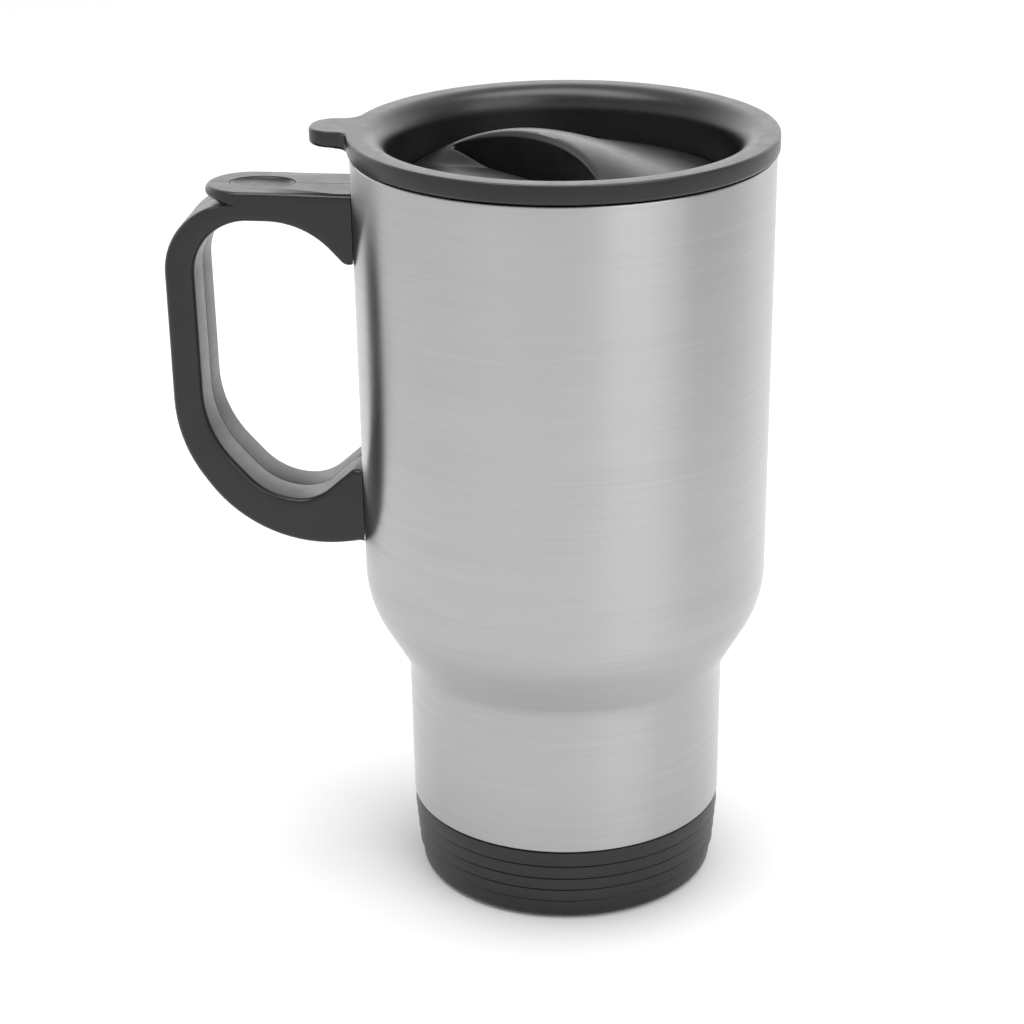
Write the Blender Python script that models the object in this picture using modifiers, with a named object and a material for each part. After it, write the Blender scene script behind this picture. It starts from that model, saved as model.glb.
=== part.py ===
"""Insulated travel mug with a D handle, a press-in lid and a turning closure.

The mug stands on the XY plane with its axis on +Z and its handle towards -X.
All sizes below are millimetres; the helpers turn them into Blender's metres.
"""
import math

import bmesh
import bpy
from mathutils import Vector

MM = 0.001
STEPS = 36              # segments round a full turn, a multiple of four
GAP = 0.3               # clearance between neighbouring pieces

# Steel body
BODY_TOP = 158.7
UPPER_RADIUS_TOP = 42.96
UPPER_RADIUS_LOW = 42.3
SHOULDER_TOP = 69.9
SHOULDER_ARC = 22.7     # convex arc under the straight wall
NECK_ARC = 10.0         # concave arc above the lower cup
SHOULDER_SLOPE = 30.0   # degrees from vertical between the two arcs
LOWER_RADIUS_TOP = 33.5
LOWER_RADIUS_LOW = 33.2
BOOT_JOINT = 16.7       # lower edge of the visible steel
SPIGOT_RADIUS = 30.3    # the steel inside the base cap
SPIGOT_LOW = 4.6
STEEL = 0.7

# Liner and insulation
LINER_BORE = 38.6
LINER_WALL = 0.6
LINER_FLOOR = 9.3
LINER_LOW_RADIUS = 27.4

# Base cap and pad
BAND_EDGES = (16.4, 13.3, 10.3, 7.5, 4.7)
BAND_RADIUS_TOP = 33.05
BAND_TAPER = 0.25
BAND_STEP = 0.35
FOOT_RADIUS = 31.8
BOOT_BORE = SPIGOT_RADIUS + GAP
BOOT_FLOOR = 4.3
PAD_RADIUS = 27.0
PAD_THICK = 1.6

# Handle, drawn as distance out from the axis against height
HANDLE_HALF_WIDTH = 9.0
HANDLE_INSIDE = 40.5    # the arms are drawn this far in, then cut to the steel
PAD_TOP = 150.8
PAD_END = 73.6
SEAM = 0.15             # half the gap between the two handle halves
REST_CENTRE = 61.8
REST_LENGTH = 13.6
REST_WIDTH = 9.6
REST_DEPTH = 1.6
SCREW_PLACES = {"upper": (50.0, 147.3), "middle": (77.7, 120.0), "lower": (50.5, 80.0)}
SCREW_HEAD_RADIUS = 2.3
SCREW_HEAD_HIGH = 1.5
SCREW_HEAD_FACE = 8.2
SCREW_SHANK = 1.3
SCREW_TIP = -6.0

# Lid
LID_TOP = 163.0
RIM_RADIUS = 43.5
RIM_LOW = 159.0
RIM_ROLL = 5.0
BOWL_RADIUS = 35.5
PLUG_RADIUS = 37.5
PLUG_LOW = 140.0
DECK_TOP = 148.2
DECK_LOW = 146.4
GROOVE_RADIUS = 36.6
GROOVE_TOP = 147.0
GROOVE_LOW = 143.5
HUB_HOLE = 3.8
TAB_REACH = 51.5
TAB_HALF_WIDTH = 6.1
TAB_THICK = 3.4
TAB_FILLET = 3.5

# Closure
CLOSURE_TURN = math.radians(-45)     # the scoop faces front left
DIAL_RADIUS = 34.8
DIAL_LOW = 149.9
DIAL_EDGE = 151.9
DOME_HIGH = 4.2         # above the dial's edge
HOOD_HIGH = 6.3         # above the dome, behind the scoop
HOOD_FADE = 19.0
APRON_HIGH = 3.3        # above the dial's edge, in front of the scoop
APRON_BLEND = 6.6       # width of the slope between the apron and the hood
TIP_BLEND = 0.77        # how far the hood's height reaches round the scoop's tips
SCOOP_CENTRE = 63.7     # from the axis, towards the scoop's open side
SCOOP_RADIUS = 58.8
SCOOP_HALF_LENGTH = 24.5
SCOOP_FLOOR = 152.1
SEAL_LOW = 148.5
SEAL_TOP = 149.6
SEAL_RADIUS = 34.2
SIP_INNER = 25.4
SIP_OUTER = 31.8
SIP_HALF_ANGLE = 15.0
VENT_PLACE = (5.0, -7.4)
VENT_RADIUS = 1.3
BOSS_RADIUS = 3.4
BOSS_LOW = 146.0
PIVOT_SHANK = 1.25
PIVOT_TOP = 151.0
WASHER_RADIUS = 6.5


# ---------------------------------------------------------------- helpers

def clear_scene():
    for obj in list(bpy.data.objects):
        bpy.data.objects.remove(obj, do_unlink=True)


def make_collection(name):
    collection = bpy.data.collections.new(name)
    bpy.context.scene.collection.children.link(collection)
    return collection


def make_material(name, colour, roughness, metallic=0.0):
    material = bpy.data.materials.new(name)
    material.use_nodes = True
    shader = material.node_tree.nodes["Principled BSDF"]
    shader.inputs["Base Color"].default_value = (*colour, 1.0)
    shader.inputs["Roughness"].default_value = roughness
    shader.inputs["Metallic"].default_value = metallic
    return material


def bake(obj):
    """Replace an object's modifiers or curve by the mesh that they give."""
    depsgraph = bpy.context.evaluated_depsgraph_get()
    depsgraph.update()
    mesh = bpy.data.meshes.new_from_object(obj.evaluated_get(depsgraph))
    baked = bpy.data.objects.new(obj.name + "_mesh", mesh)
    baked.matrix_world = obj.matrix_world
    name = obj.name
    collection = obj.users_collection[0]
    bpy.data.objects.remove(obj, do_unlink=True)
    collection.objects.link(baked)
    baked.name = name
    mesh.name = name
    return baked


def weld(mesh):
    shape = bmesh.new()
    shape.from_mesh(mesh)
    bmesh.ops.remove_doubles(shape, verts=shape.verts, dist=0.00001)
    shape.to_mesh(mesh)
    shape.free()


def face_outwards(obj):
    shape = bmesh.new()
    shape.from_mesh(obj.data)
    bmesh.ops.recalc_face_normals(shape, faces=shape.faces)
    shape.to_mesh(obj.data)
    shape.free()


def smooth(obj, angle=35):
    obj.data.shade_smooth()
    obj.data.set_sharp_from_angle(angle=math.radians(angle))


def arc(centre_x, centre_y, radius, start, end, steps):
    """Points along an arc, from and to angles in degrees."""
    points = []
    for index in range(steps + 1):
        angle = math.radians(start + (end - start) * index / steps)
        points.append((centre_x + radius * math.cos(angle), centre_y + radius * math.sin(angle)))
    return points


def turned_point(x, y, angle):
    return x * math.cos(angle) - y * math.sin(angle), x * math.sin(angle) + y * math.cos(angle)


def turned(name, profile, steps=STEPS, closed=True):
    """A solid turned about Z from (radius, height) points, down the outside first."""
    mesh = bpy.data.meshes.new(name)
    count = len(profile)
    edges = [(index, index + 1) for index in range(count - 1)]
    if closed:
        edges.append((count - 1, 0))
    mesh.from_pydata([(radius * MM, 0.0, height * MM) for radius, height in profile], edges, [])
    obj = bpy.data.objects.new(name, mesh)
    PARTS.objects.link(obj)
    screw = obj.modifiers.new("Turn", "SCREW")
    screw.steps = steps
    screw.render_steps = steps
    screw.use_merge_vertices = True
    screw.merge_threshold = 0.000005
    obj = bake(obj)
    smooth(obj)
    return obj


def rounded(corners, step=18.0):
    """An outline from (x, y, fillet radius) corners."""
    points = []
    for index, (x, y, radius) in enumerate(corners):
        corner = Vector((x, y))
        before = (Vector(corners[index - 1][:2]) - corner).normalized()
        after = (Vector(corners[(index + 1) % len(corners)][:2]) - corner).normalized()
        if radius == 0:
            points.append((x, y))
            continue
        half = before.angle(after) / 2
        tangent = radius / math.tan(half)
        centre = corner + (before + after).normalized() * radius / math.sin(half)
        start = corner + before * tangent - centre
        turn = start.angle_signed(corner + after * tangent - centre)
        pieces = max(1, round(abs(math.degrees(turn)) / step))
        begin = math.degrees(math.atan2(start.y, start.x))
        points += arc(centre.x, centre.y, radius, begin, begin - math.degrees(turn), pieces)
    return points


def extruded(name, outline, low, high):
    """A flat outline in XY, given thickness from one height to another."""
    curve = bpy.data.curves.new(name, "CURVE")
    curve.dimensions = "2D"
    curve.fill_mode = "BOTH"
    curve.extrude = (high - low) / 2 * MM
    spline = curve.splines.new("POLY")
    spline.points.add(len(outline) - 1)
    for point, (x, y) in zip(spline.points, outline):
        point.co = (x * MM, y * MM, 0.0, 1.0)
    spline.use_cyclic_u = True
    obj = bpy.data.objects.new(name, curve)
    PARTS.objects.link(obj)
    obj = bake(obj)
    weld(obj.data)
    obj.data.transform(obj.matrix_world)
    for vertex in obj.data.vertices:
        vertex.co.z += (high + low) / 2 * MM
    return obj


def upright(obj):
    """Turn a piece drawn flat as (distance out, height) to stand in the handle's plane."""
    for vertex in obj.data.vertices:
        out, height, across = vertex.co
        vertex.co = (-out, across, height)
    return obj


def block(name, low, high):
    size = [high[axis] - low[axis] for axis in range(3)]
    shape = bmesh.new()
    bmesh.ops.create_cube(shape, size=1.0)
    for vertex in shape.verts:
        vertex.co = [(low[axis] + size[axis] * (vertex.co[axis] + 0.5)) * MM for axis in range(3)]
    mesh = bpy.data.meshes.new(name)
    shape.to_mesh(mesh)
    shape.free()
    obj = bpy.data.objects.new(name, mesh)
    PARTS.objects.link(obj)
    return obj


def as_cutter(obj):
    PARTS.objects.unlink(obj)
    CUTTERS.objects.link(obj)
    obj.hide_render = True
    obj.display_type = "WIRE"
    return obj


def combine(target, other, operation="DIFFERENCE"):
    modifier = target.modifiers.new(operation.title(), "BOOLEAN")
    modifier.operation = operation
    modifier.solver = "EXACT"
    modifier.object = other


def cut(target, *cutters):
    for cutter in cutters:
        combine(target, cutter)


def peg(name, place, radius, start, end, steps=16):
    """A round cutter along Y at a place in the handle's plane."""
    out, height = place
    obj = turned(name, [(0, end), (radius, end), (radius, start), (0, start)], steps, closed=False)
    for vertex in obj.data.vertices:
        x, y, z = vertex.co
        vertex.co = (x - out * MM, z, height * MM - y)
    return as_cutter(obj)


def finish_piece(obj, material):
    obj.data.materials.clear()
    obj.data.materials.append(material)
    return obj


# ---------------------------------------------------------------- steel body

def upper_radius(height):
    share = (height - SHOULDER_TOP) / (BODY_TOP - SHOULDER_TOP)
    return UPPER_RADIUS_LOW + (UPPER_RADIUS_TOP - UPPER_RADIUS_LOW) * share


def shoulder(inset):
    """Both shoulder arcs, moved in by an inset, from top to bottom."""
    convex = arc(UPPER_RADIUS_LOW - SHOULDER_ARC, SHOULDER_TOP, SHOULDER_ARC - inset,
                 0, -SHOULDER_SLOPE, 5)
    concave_height = neck_height()
    concave = arc(LOWER_RADIUS_TOP + NECK_ARC, concave_height, NECK_ARC + inset,
                  180 - SHOULDER_SLOPE, 180, 4)
    return convex + concave


def neck_height():
    """Where the concave arc meets the lower cup, so that the slope joins both arcs."""
    slope = math.radians(SHOULDER_SLOPE)
    drop_in = (UPPER_RADIUS_LOW - LOWER_RADIUS_TOP) - (SHOULDER_ARC + NECK_ARC) * (1 - math.cos(slope))
    drop = (SHOULDER_ARC + NECK_ARC) * math.sin(slope) + drop_in / math.tan(slope)
    return SHOULDER_TOP - drop


def make_outer_shell():
    top = BODY_TOP
    outer = [(UPPER_RADIUS_TOP - 0.25, top), (UPPER_RADIUS_TOP, top - 0.3)]
    outer += shoulder(0.0)
    outer += [(LOWER_RADIUS_LOW, BOOT_JOINT + 0.6), (LOWER_RADIUS_LOW - 0.4, BOOT_JOINT)]
    outer += [(SPIGOT_RADIUS, BOOT_JOINT), (SPIGOT_RADIUS, SPIGOT_LOW)]
    inner = [(SPIGOT_RADIUS - STEEL, SPIGOT_LOW), (SPIGOT_RADIUS - STEEL, BOOT_JOINT + STEEL)]
    inner += [(LOWER_RADIUS_LOW - STEEL, BOOT_JOINT + STEEL + 0.4)]
    inner += reversed(shoulder(STEEL))
    inner += [(UPPER_RADIUS_TOP - STEEL, top)]
    return finish_piece(turned("outer_shell", outer + inner), BRUSHED_STEEL)


def liner_profile(inset):
    """The liner's outer side, moved in by an inset, from under the lip to the floor."""
    side = shoulder(UPPER_RADIUS_LOW - LINER_BORE - LINER_WALL + inset)
    side += [(LINER_LOW_RADIUS + 0.4 - inset, BOOT_JOINT + 1.3)]
    side += arc(LINER_LOW_RADIUS - 2.0, LINER_FLOOR + 1.4, 2.0 - inset, 0, -90, 3)
    return side


def make_inner_liner():
    lip_top = BODY_TOP - GAP
    lip_low = lip_top - 0.7
    lip = UPPER_RADIUS_TOP - STEEL - GAP
    outer = [(lip, lip_top), (lip, lip_low), (LINER_BORE + LINER_WALL, lip_low)]
    outer += liner_profile(0.0)
    inner = liner_profile(LINER_WALL)
    inner.reverse()
    inner += [(LINER_BORE, lip_top - 0.3), (LINER_BORE + 0.3, lip_top)]
    profile = [(0, inner[0][1])] + inner + outer + [(0, outer[-1][1])]
    return finish_piece(turned("inner_liner", profile, closed=False), POLISHED_STEEL)


def make_shell_bottom():
    radius = SPIGOT_RADIUS - STEEL - GAP
    low = SPIGOT_LOW + 0.2
    profile = [(0, low + 1.1), (radius - 4, low + 1.1), (radius - 2.6, low + 0.7), (radius, low + 0.7),
               (radius, low), (radius - 2.2, low), (radius - 3.6, low + 0.4), (0, low + 0.4)]
    return finish_piece(turned("shell_bottom", profile, closed=False), POLISHED_STEEL)


def make_insulation():
    clearance = STEEL + GAP
    top = BODY_TOP - 2.2
    low = SPIGOT_LOW + 1.6
    outer = [(upper_radius(top) - clearance, top)] + shoulder(clearance)
    outer += [(LOWER_RADIUS_LOW - clearance, BOOT_JOINT + STEEL + 0.7),
              (SPIGOT_RADIUS - clearance, BOOT_JOINT + STEEL + 0.4),
              (SPIGOT_RADIUS - clearance, low), (0, low)]
    inner = liner_profile(-GAP)
    inner.reverse()
    inside = [(0, inner[0][1])] + inner + [(LINER_BORE + LINER_WALL + GAP, top)]
    return finish_piece(turned("insulation_foam", inside + outer, closed=False), FOAM)


# ---------------------------------------------------------------- base

def make_base_cap():
    top = BAND_EDGES[0]
    outer = [(BAND_RADIUS_TOP - 0.5, top), (BAND_RADIUS_TOP - 0.1, top - 0.3)]
    for index, edge in enumerate(BAND_EDGES[1:]):
        radius = BAND_RADIUS_TOP - BAND_TAPER * index
        outer.append((radius, edge + 0.25))
        outer.append((radius - BAND_STEP, edge))
    outer[-1] = (FOOT_RADIUS, BAND_EDGES[-1])
    outer += [(FOOT_RADIUS - 0.1, 1.6), (FOOT_RADIUS - 0.5, 0.6), (FOOT_RADIUS - 1.4, GAP)]
    recess = PAD_RADIUS + GAP
    under = [(recess, GAP), (recess, PAD_THICK + GAP), (0, PAD_THICK + GAP)]
    inside = [(0, BOOT_FLOOR), (BOOT_BORE, BOOT_FLOOR), (BOOT_BORE, top)]
    return finish_piece(turned("base_cap", inside + outer + under, closed=False), BLACK_PLASTIC)


def make_base_pad():
    profile = [(0, PAD_THICK), (PAD_RADIUS, PAD_THICK), (PAD_RADIUS, 0.3), (PAD_RADIUS - 0.3, 0), (0, 0)]
    return finish_piece(turned("base_pad", profile, closed=False), RUBBER)


# ---------------------------------------------------------------- handle

def handle_outline():
    """The D handle seen from the side, as (distance out, height, fillet)."""
    return rounded([
        (HANDLE_INSIDE, PAD_TOP, 0), (PAD_END, PAD_TOP, 0.8), (PAD_END - 0.4, 149.1, 0.5),
        (69.3, 148.1, 0.3), (81.5, 144.9, 14.8), (80.9, 96.6, 30.0), (63.7, 72.4, 30.0),
        (HANDLE_INSIDE, 75.7, 0), (HANDLE_INSIDE, 91.6, 0), (43.7, 91.6, 2.0), (51.9, 84.4, 9.8),
        (61.7, 84.95, 14.0), (74.6, 99.0, 23.0), (75.3, 144.8, 11.5), (52.0, 144.7, 18.0),
        (43.5, 135.5, 2.0), (HANDLE_INSIDE, 136.6, 0)])


def make_handle_cutters():
    """The shapes taken out of both handle halves."""
    clearance = [(radius + GAP, height) for radius, height in
                 [(0 - GAP, 155.0), (upper_radius(155.0), 155.0), (UPPER_RADIUS_LOW, SHOULDER_TOP),
                  (0 - GAP, SHOULDER_TOP)]]
    body = as_cutter(turned("cut_body", clearance, closed=False))
    end = PAD_END - HANDLE_HALF_WIDTH
    corner = [(PAD_END + 4, -12), (PAD_END + 4, 12), (end, 12)]
    corner += arc(end, 0, HANDLE_HALF_WIDTH, 90, -90, 12) + [(end, -12)]
    corner = [(-x, y) for x, y in corner]
    pad_end = as_cutter(extruded("cut_pad_end", corner, 148.05, 155.0))
    rest = as_cutter(oval("cut_thumb_rest", GAP, PAD_TOP - REST_DEPTH - GAP, PAD_TOP + 2))
    cutters = [body, pad_end, rest]
    for name, (web, flange) in BRACKETS.items():
        for part, (low, high) in (("web", web), ("flange", flange)):
            low_cut = [value - GAP for value in low]
            high_cut = [value + GAP for value in high]
            high_cut[0] = -HANDLE_INSIDE
            cutters.append(as_cutter(block(f"cut_{name}_{part}", low_cut, high_cut)))
    return cutters


def oval(name, grow, low, high):
    """An upright oval cylinder where the thumb rest sits."""
    profile = [(0, high), (1, high), (1, low), (0, low)]
    obj = turned(name, profile, 24, closed=False)
    for vertex in obj.data.vertices:
        vertex.co.x = vertex.co.x * (REST_LENGTH / 2 + grow) - REST_CENTRE * MM
        vertex.co.y = vertex.co.y * (REST_WIDTH / 2 + grow)
    return obj


def make_handle_half(name, side, cutters):
    """One moulded half; side is -1 for the front half and +1 for the back half."""
    low, high = sorted((side * SEAM, side * HANDLE_HALF_WIDTH))
    half = upright(extruded(name, handle_outline(), low, high))
    face_outwards(half)
    cut(half, *cutters)
    for place_name, place in SCREW_PLACES.items():
        shank = SCREW_SHANK + GAP
        if side > 0:
            head = SCREW_HEAD_FACE - SCREW_HEAD_HIGH - GAP
            cut(half, peg(f"cut_shank_{place_name}", place, shank, -1, head + 1),
                peg(f"cut_head_{place_name}", place, SCREW_HEAD_RADIUS + GAP, head, 12))
        else:
            cut(half, peg(f"cut_boss_{place_name}", place, shank, SCREW_TIP - GAP, 1))
    half = bake(half)
    smooth(half)
    return finish_piece(half, BLACK_PLASTIC)


def make_thumb_rest():
    top = PAD_TOP - 0.1
    low = PAD_TOP - REST_DEPTH
    dish = [(0, top - 0.8), (0.4, top - 0.7), (0.75, top - 0.35), (0.93, top)]
    profile = dish + [(1, top), (1, low), (0, low)]
    obj = turned("thumb_rest", profile, 24, closed=False)
    for vertex in obj.data.vertices:
        vertex.co.x = vertex.co.x * REST_LENGTH / 2 - REST_CENTRE * MM
        vertex.co.y *= REST_WIDTH / 2
    smooth(obj)
    return finish_piece(obj, BLACK_PLASTIC)


def make_bracket(name):
    """A steel tab welded to the shell: a flange on the wall and a web into the arm."""
    web, flange = BRACKETS[name]
    obj = block(f"{name}_bracket", *flange)
    web_low = list(web[0])
    web_high = list(web[1])
    web_high[0] = flange[1][0] - 0.2
    combine(obj, as_cutter(block(f"join_{name}_web", web_low, web_high)), "UNION")
    place = SCREW_PLACES[name]
    cut(obj, peg(f"cut_{name}_bracket_hole", place, SCREW_SHANK + GAP, -3, 3))
    return finish_piece(bake(obj), POLISHED_STEEL)


def screw_profile(head_radius, head_high, shank, face, tip):
    """A pan-head screw with a round driver recess, pointing down from its head."""
    under = face - head_high
    return [(0, face - 0.8), (head_radius * 0.45, face - 0.8), (head_radius * 0.5, face),
            (head_radius - 0.4, face), (head_radius, face - 0.4), (head_radius, under),
            (shank, under), (shank, tip + 0.8), (shank * 0.5, tip), (0, tip)]


def make_handle_screw(name, place):
    profile = screw_profile(SCREW_HEAD_RADIUS, SCREW_HEAD_HIGH, SCREW_SHANK, SCREW_HEAD_FACE, SCREW_TIP)
    obj = turned(f"handle_screw_{name}", profile, 16, closed=False)
    obj.rotation_euler = (math.radians(-90), 0, 0)
    obj.location = (-place[0] * MM, 0, place[1] * MM)
    return finish_piece(obj, SCREW_STEEL)


# ---------------------------------------------------------------- lid

def sector(inner, outer, half_angle, middle, steps=5):
    """A curved slot's outline about the axis, its middle at an angle in degrees."""
    far = arc(0, 0, outer, middle - half_angle, middle + half_angle, steps)
    near = arc(0, 0, inner, middle + half_angle, middle - half_angle, steps)
    return far + near


def port_cutters(prefix, low, high):
    """The sip slot and the vent hole, cut between two heights."""
    slot = sector(SIP_INNER, SIP_OUTER, SIP_HALF_ANGLE, 270 + math.degrees(CLOSURE_TURN))
    vent = arc(*turned_point(*VENT_PLACE, CLOSURE_TURN), VENT_RADIUS, 0, 330, 11)
    return [as_cutter(extruded(f"{prefix}_sip", slot, low, high)),
            as_cutter(extruded(f"{prefix}_vent", vent, low, high))]


def tab_outline():
    """The thumb tab in plan, with concave fillets where it leaves the rim."""
    corner = 4.6
    reach = RIM_RADIUS + TAB_FILLET
    side = TAB_HALF_WIDTH + TAB_FILLET
    root = math.degrees(math.asin(side / reach))
    fillet_x = reach * math.cos(math.radians(root))
    half = [(RIM_RADIUS - 2.5, side - 1.0)]
    half += arc(fillet_x, side, TAB_FILLET, 180 + root, 270, 4)
    half += arc(TAB_REACH - corner, TAB_HALF_WIDTH - corner, corner, 90, 0, 6)
    other = [(x, -y) for x, y in reversed(half)]
    return [(-x, y) for x, y in half + other]


def make_lid_body():
    outer = [(RIM_RADIUS - 0.4, LID_TOP), (RIM_RADIUS, LID_TOP - 0.4)]
    outer += arc(RIM_RADIUS - 0.9, RIM_LOW + 0.9, 0.9, 0, -90, 3)
    outer += [(PLUG_RADIUS, RIM_LOW), (PLUG_RADIUS, GROOVE_TOP), (GROOVE_RADIUS, GROOVE_TOP),
              (GROOVE_RADIUS, GROOVE_LOW), (PLUG_RADIUS, GROOVE_LOW), (PLUG_RADIUS, PLUG_LOW + 0.6),
              (PLUG_RADIUS - 0.6, PLUG_LOW)]
    wall = BOWL_RADIUS - 0.3
    inner = [(wall, PLUG_LOW), (wall, DECK_LOW), (HUB_HOLE, DECK_LOW), (HUB_HOLE, DECK_TOP),
             (wall, DECK_TOP)]
    inner += arc(BOWL_RADIUS + RIM_ROLL, LID_TOP - RIM_ROLL, RIM_ROLL, 180, 90, 8)
    lid = turned("lid_body", outer + inner)
    tab = as_cutter(extruded("join_thumb_tab", tab_outline(), LID_TOP - TAB_THICK, LID_TOP - 0.02))
    face_outwards(tab)
    combine(lid, tab, "UNION")
    cut(lid, *port_cutters("cut_deck", DECK_LOW - 2, DECK_TOP + 1))
    lid = bake(lid)
    smooth(lid)
    return finish_piece(lid, BLACK_PLASTIC)


def make_lid_gasket():
    """A silicone ring in the plug's groove, with two fins against the liner."""
    root = GROOVE_RADIUS + GAP
    fin = LINER_BORE - GAP
    valley = PLUG_RADIUS
    low = GROOVE_LOW + GAP
    high = GROOVE_TOP - GAP
    middle = (low + high) / 2
    outer = [(root, high), (valley, high)]
    for height in (high - 0.7, low + 0.7):
        outer += [(valley, height + 0.45), (fin, height + 0.15), (fin, height - 0.15),
                  (valley, height - 0.45)]
    outer[5:6] = [(valley, middle)]
    outer += [(valley, low), (root, low)]
    return finish_piece(turned("lid_gasket", outer), SILICONE)


# ---------------------------------------------------------------- closure

def scoop_chord():
    """How far the scoop's straight front edge is from the axis."""
    return SCOOP_CENTRE - math.sqrt(SCOOP_RADIUS ** 2 - SCOOP_HALF_LENGTH ** 2)


def dome_height(x, y):
    """Height of the dial's top in its own frame, whose scoop opens towards -Y.

    A raised hood stands behind the scoop and a low apron lies in front of it.
    """
    share = min(1.0, math.hypot(x, y) / DIAL_RADIUS)
    behind = max(0.0, math.hypot(x, y + SCOOP_CENTRE) - SCOOP_RADIUS)
    hood = DOME_HIGH * (1 - share ** 3)
    hood += HOOD_HIGH * (1 - share ** 2) * math.exp(-(behind / HOOD_FADE) ** 2)
    apron = APRON_HIGH * (1 - share ** 2)
    tips = (x / SCOOP_HALF_LENGTH) ** 2
    blend = max(0.0, min(1.0, (y + scoop_chord()) / APRON_BLEND + TIP_BLEND * tips))
    return DIAL_EDGE + apron + (hood - apron) * blend * blend * (3 - 2 * blend)


def make_closure_dial():
    rings = 9
    top = [(DIAL_RADIUS * index / rings, DIAL_EDGE) for index in range(rings)]
    profile = top + [(DIAL_RADIUS - 0.3, DIAL_EDGE), (DIAL_RADIUS, DIAL_EDGE - 0.3),
                     (DIAL_RADIUS, DIAL_LOW), (BOSS_RADIUS, DIAL_LOW), (BOSS_RADIUS, BOSS_LOW),
                     (PIVOT_SHANK + GAP, BOSS_LOW), (PIVOT_SHANK + GAP, PIVOT_TOP + GAP),
                     (0, PIVOT_TOP + GAP)]
    dial = turned("closure_dial", profile, closed=False)
    for vertex in dial.data.vertices:
        x, y, z = (value / MM for value in vertex.co)
        if z > DIAL_EDGE - 0.05:
            vertex.co.z = dome_height(x, y) * MM
    turn_mesh(dial, CLOSURE_TURN)
    scoop = extruded("cut_scoop", scoop_outline(), SCOOP_FLOOR, LID_TOP + 3)
    turn_mesh(scoop, CLOSURE_TURN)
    cut(dial, as_cutter(scoop), *port_cutters("cut_dial", DIAL_LOW - 1, LID_TOP + 3))
    dial = bake(dial)
    smooth(dial)
    return finish_piece(dial, BLACK_PLASTIC)


def turn_mesh(obj, angle):
    for vertex in obj.data.vertices:
        vertex.co.xy = turned_point(vertex.co.x, vertex.co.y, angle)


def scoop_outline():
    """A round back wall closed by a straight chord, in the dial's own frame."""
    reach = math.degrees(math.asin(SCOOP_HALF_LENGTH / SCOOP_RADIUS))
    return arc(0, -SCOOP_CENTRE, SCOOP_RADIUS, 90 - reach, 90 + reach, 18)


def make_closure_seal():
    bore = BOSS_RADIUS + GAP
    profile = [(bore, SEAL_TOP), (SEAL_RADIUS, SEAL_TOP), (SEAL_RADIUS, SEAL_LOW), (bore, SEAL_LOW)]
    seal = turned("closure_seal", profile)
    cut(seal, *port_cutters("cut_seal", SEAL_LOW - 1, SEAL_TOP + 1))
    seal = bake(seal)
    smooth(seal)
    return finish_piece(seal, SILICONE)


def make_pivot_washer():
    top = BOSS_LOW - GAP
    bore = PIVOT_SHANK + 0.5
    profile = [(bore, top), (WASHER_RADIUS, top), (WASHER_RADIUS, top - 0.8), (bore, top - 0.8)]
    return finish_piece(turned("pivot_washer", profile, 24), SCREW_STEEL)


def make_pivot_screw():
    face = BOSS_LOW - GAP - 0.8 - GAP - 1.6
    profile = screw_profile(3.2, 1.6, PIVOT_SHANK, 0, face - PIVOT_TOP)
    obj = turned("pivot_screw", profile, 16, closed=False)
    obj.rotation_euler = (math.radians(180), 0, 0)
    obj.location = (0, 0, face * MM)
    return finish_piece(obj, SCREW_STEEL)


# ---------------------------------------------------------------- build

clear_scene()
PARTS = make_collection("travel_mug")
CUTTERS = make_collection("cutters")

BRUSHED_STEEL = make_material("brushed_steel", (0.62, 0.62, 0.61), 0.32, 1.0)
POLISHED_STEEL = make_material("plain_steel", (0.60, 0.60, 0.60), 0.25, 1.0)
SCREW_STEEL = make_material("screw_steel", (0.45, 0.45, 0.46), 0.35, 1.0)
BLACK_PLASTIC = make_material("black_plastic", (0.045, 0.045, 0.047), 0.45)
RUBBER = make_material("black_rubber", (0.03, 0.03, 0.03), 0.8)
SILICONE = make_material("grey_silicone", (0.12, 0.12, 0.12), 0.6)
FOAM = make_material("white_foam", (0.85, 0.84, 0.80), 0.9)

# Each bracket is a web and a flange, as low and high corners.
BRACKETS = {
    "upper": (((-54.0, -1.0, 145.6), (-44.0, 1.0, 149.0)), ((-44.6, -4.5, 140.0), (-43.3, 4.5, 149.1))),
    "lower": (((-55.0, -1.0, 77.6), (-44.0, 1.0, 82.4)), ((-44.6, -4.5, 77.3), (-43.3, 4.5, 88.5))),
}

make_outer_shell()
make_inner_liner()
make_shell_bottom()
make_insulation()
make_base_cap()
make_base_pad()
handle_cutters = make_handle_cutters()
make_handle_half("handle_front_half", -1, handle_cutters)
make_handle_half("handle_back_half", 1, handle_cutters)
make_thumb_rest()
for bracket_name in BRACKETS:
    make_bracket(bracket_name)
for screw_name, screw_place in SCREW_PLACES.items():
    make_handle_screw(screw_name, screw_place)
make_lid_body()
make_lid_gasket()
make_closure_dial()
make_closure_seal()
make_pivot_washer()
make_pivot_screw()
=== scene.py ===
"""The looks of the insulated travel mug: fine meshes, materials, light and camera.

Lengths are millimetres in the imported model's frame, with +Z up and the handle
towards -X. The mesh builders turn them into Blender's metres.
"""
import math

import bmesh
import bpy
from mathutils import Matrix, Vector


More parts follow.
